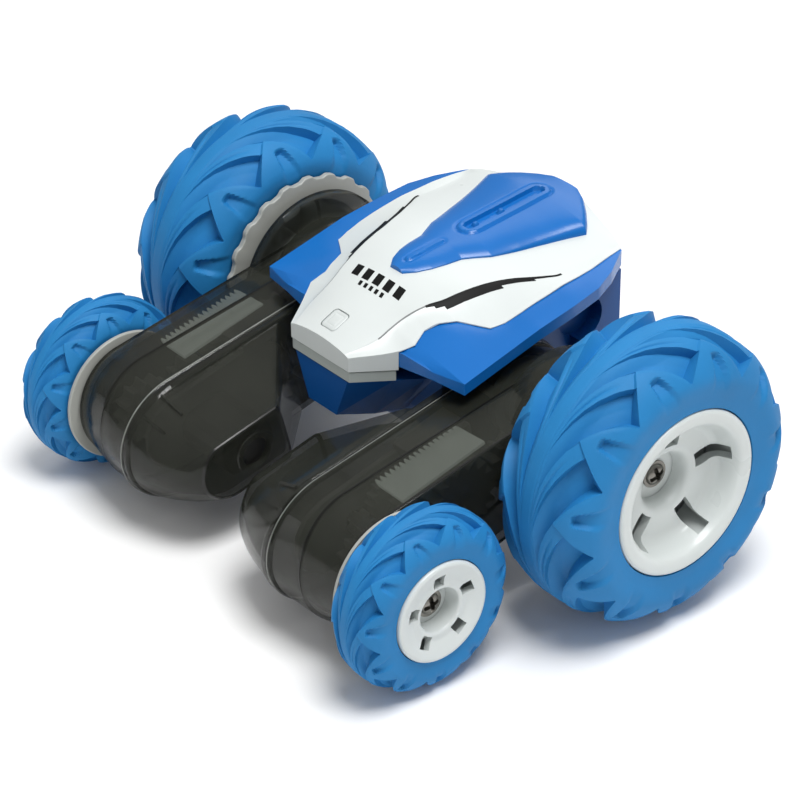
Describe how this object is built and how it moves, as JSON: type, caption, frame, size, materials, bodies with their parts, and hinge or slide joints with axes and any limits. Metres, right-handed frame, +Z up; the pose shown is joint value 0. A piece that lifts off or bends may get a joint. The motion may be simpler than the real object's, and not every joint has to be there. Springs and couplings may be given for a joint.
{
  "type": "rc stunt car",
  "caption": "Double-sided remote control stunt car: low body with swept wings between two swinging gearbox arms, each with a big lugged rear wheel and a small front wheel.",
  "frame": {"origin": "on the floor, under the middle of the overall length and width", "axes": "+Z up, -Y the car's front (small wheels and nose), +X the car's left"},
  "size_m": [0.149, 0.1048, 0.062],
  "materials": {
    "tyre": "matt moulded rubber",
    "white_plastic": "gloss",
    "blue_plastic": "satin gloss",
    "smoke_plastic": "smoked translucent",
    "grey_plastic": "satin",
    "gear_plastic": "grey nylon",
    "nylon": "natural nylon",
    "steel": "plated",
    "board": "solder mask",
    "battery_wrap": "shrink wrap"
  },
  "bodies": {
    "body": {"lower_tub": "blue_plastic", "deck": "blue_plastic", "canopy": "white_plastic", "hood_scoop": "blue_plastic", "nose_band": "grey_plastic", "battery": "battery_wrap", "battery_cover": "blue_plastic", "circuit_board": "board", "body_screw_front": "steel", "body_screw_rear_left": "steel", "body_screw_rear_right": "steel", "pivot_journal_left": "grey_plastic", "pivot_journal_right": "grey_plastic", "pivot_ring_left": "grey_plastic", "pivot_ring_right": "grey_plastic"},
    "button": {"power_button": "white_plastic"},
    "arm_left": {"arm_outer_shell_left": "smoke_plastic", "arm_inner_shell_left": "smoke_plastic", "gear_plate_left": "nylon", "motor_left": "steel", "housing_screw_rear_left": "steel", "housing_screw_middle_left": "steel"},
    "big_wheel_left": {"big_tyre_left": "tyre", "big_rim_left": "white_plastic", "big_wheel_screw_left": "steel", "rear_drive_gear_left": "gear_plastic"},
    "small_wheel_left": {"small_tyre_left": "tyre", "small_rim_left": "white_plastic", "small_wheel_screw_left": "steel", "front_drive_gear_left": "gear_plastic"},
    "front_idler_body_left": {"front_idler_left": "gear_plastic"},
    "centre_gear_body_left": {"centre_gear_left": "gear_plastic"},
    "rear_idler_body_left": {"rear_idler_left": "gear_plastic"},
    "reduction_gear_body_left": {"reduction_gear_left": "gear_plastic"},
    "motor_pinion_body_left": {"motor_pinion_left": "steel"},
    "arm_right": {"arm_outer_shell_right": "smoke_plastic", "arm_inner_shell_right": "smoke_plastic", "gear_plate_right": "nylon", "motor_right": "steel", "housing_screw_rear_right": "steel", "housing_screw_middle_right": "steel"},
    "big_wheel_right": {"big_tyre_right": "tyre", "big_rim_right": "white_plastic", "big_wheel_screw_right": "steel", "rear_drive_gear_right": "gear_plastic"},
    "small_wheel_right": {"small_tyre_right": "tyre", "small_rim_right": "white_plastic", "small_wheel_screw_right": "steel", "front_drive_gear_right": "gear_plastic"},
    "front_idler_body_right": {"front_idler_right": "gear_plastic"},
    "centre_gear_body_right": {"centre_gear_right": "gear_plastic"},
    "rear_idler_body_right": {"rear_idler_right": "gear_plastic"},
    "reduction_gear_body_right": {"reduction_gear_right": "gear_plastic"},
    "motor_pinion_body_right": {"motor_pinion_right": "steel"}
  },
  "joints": [
    {"name": "power_button_press", "type": "slide", "parent": "body", "child": "button", "axis": [0, 0, -1], "range_m": [0, 0.0008], "stiffness_N_per_m": 500, "springref_m": -0.0004},
    {"name": "arm_swing_left", "type": "hinge", "parent": "body", "child": "arm_left", "pos_m": [0.022, 0.0172, 0.031], "axis": [1, 0, 0], "range_deg": [0, 90]},
    {"name": "big_wheel_spin_left", "type": "hinge", "parent": "arm_left", "child": "big_wheel_left", "pos_m": [0.0598, 0.0172, 0.031], "axis": [1, 0, 0], "continuous": true},
    {"name": "small_wheel_spin_left", "type": "hinge", "parent": "arm_left", "child": "small_wheel_left", "pos_m": [0.0525, -0.0334, 0.019], "axis": [1, 0, 0], "continuous": true},
    {"name": "front_idler_spin_left", "type": "hinge", "parent": "arm_left", "child": "front_idler_body_left", "pos_m": [0.037, -0.02221, 0.02165], "axis": [1, 0, 0], "continuous": true},
    {"name": "centre_gear_spin_left", "type": "hinge", "parent": "arm_left", "child": "centre_gear_body_left", "pos_m": [0.037, -0.01005, 0.02454], "axis": [1, 0, 0], "continuous": true},
    {"name": "rear_idler_spin_left", "type": "hinge", "parent": "arm_left", "child": "rear_idler_body_left", "pos_m": [0.037, 0.00212, 0.02742], "axis": [1, 0, 0], "continuous": true},
    {"name": "reduction_gear_spin_left", "type": "hinge", "parent": "arm_left", "child": "reduction_gear_body_left", "pos_m": [0.0298, -0.01822, 0.0226], "axis": [1, 0, 0], "continuous": true},
    {"name": "motor_pinion_spin_left", "type": "hinge", "parent": "arm_left", "child": "motor_pinion_body_left", "pos_m": [0.0276, -0.02756, 0.02039], "axis": [1, 0, 0], "continuous": true},
    {"name": "arm_swing_right", "type": "hinge", "parent": "body", "child": "arm_right", "pos_m": [-0.022, 0.0172, 0.031], "axis": [1, 0, 0], "range_deg": [0, 90]},
    {"name": "big_wheel_spin_right", "type": "hinge", "parent": "arm_right", "child": "big_wheel_right", "pos_m": [-0.0598, 0.0172, 0.031], "axis": [1, 0, 0], "continuous": true},
    {"name": "small_wheel_spin_right", "type": "hinge", "parent": "arm_right", "child": "small_wheel_right", "pos_m": [-0.0525, -0.0334, 0.019], "axis": [1, 0, 0], "continuous": true},
    {"name": "front_idler_spin_right", "type": "hinge", "parent": "arm_right", "child": "front_idler_body_right", "pos_m": [-0.037, -0.02221, 0.02165], "axis": [1, 0, 0], "continuous": true},
    {"name": "centre_gear_spin_right", "type": "hinge", "parent": "arm_right", "child": "centre_gear_body_right", "pos_m": [-0.037, -0.01005, 0.02454], "axis": [1, 0, 0], "continuous": true},
    {"name": "rear_idler_spin_right", "type": "hinge", "parent": "arm_right", "child": "rear_idler_body_right", "pos_m": [-0.037, 0.00212, 0.02742], "axis": [1, 0, 0], "continuous": true},
    {"name": "reduction_gear_spin_right", "type": "hinge", "parent": "arm_right", "child": "reduction_gear_body_right", "pos_m": [-0.0298, -0.01822, 0.0226], "axis": [1, 0, 0], "continuous": true},
    {"name": "motor_pinion_spin_right", "type": "hinge", "parent": "arm_right", "child": "motor_pinion_body_right", "pos_m": [-0.0276, -0.02756, 0.02039], "axis": [1, 0, 0], "continuous": true}
  ],
  "couplings": [
    {"joint": "small_wheel_spin_left", "follows": "big_wheel_spin_left", "ratio": 1.6154},
    {"joint": "front_idler_spin_left", "follows": "big_wheel_spin_left", "ratio": -2.1},
    {"joint": "centre_gear_spin_left", "follows": "big_wheel_spin_left", "ratio": 1.4},
    {"joint": "rear_idler_spin_left", "follows": "big_wheel_spin_left", "ratio": -2.1},
    {"joint": "reduction_gear_spin_left", "follows": "big_wheel_spin_left", "ratio": -2.52},
    {"joint": "motor_pinion_spin_left", "follows": "big_wheel_spin_left", "ratio": 7.56},
    {"joint": "small_wheel_spin_right", "follows": "big_wheel_spin_right", "ratio": 1.6154},
    {"joint": "front_idler_spin_right", "follows": "big_wheel_spin_right", "ratio": -2.1},
    {"joint": "centre_gear_spin_right", "follows": "big_wheel_spin_right", "ratio": 1.4},
    {"joint": "rear_idler_spin_right", "follows": "big_wheel_spin_right", "ratio": -2.1},
    {"joint": "reduction_gear_spin_right", "follows": "big_wheel_spin_right", "ratio": -2.52},
    {"joint": "motor_pinion_spin_right", "follows": "big_wheel_spin_right", "ratio": 7.56}
  ]
}
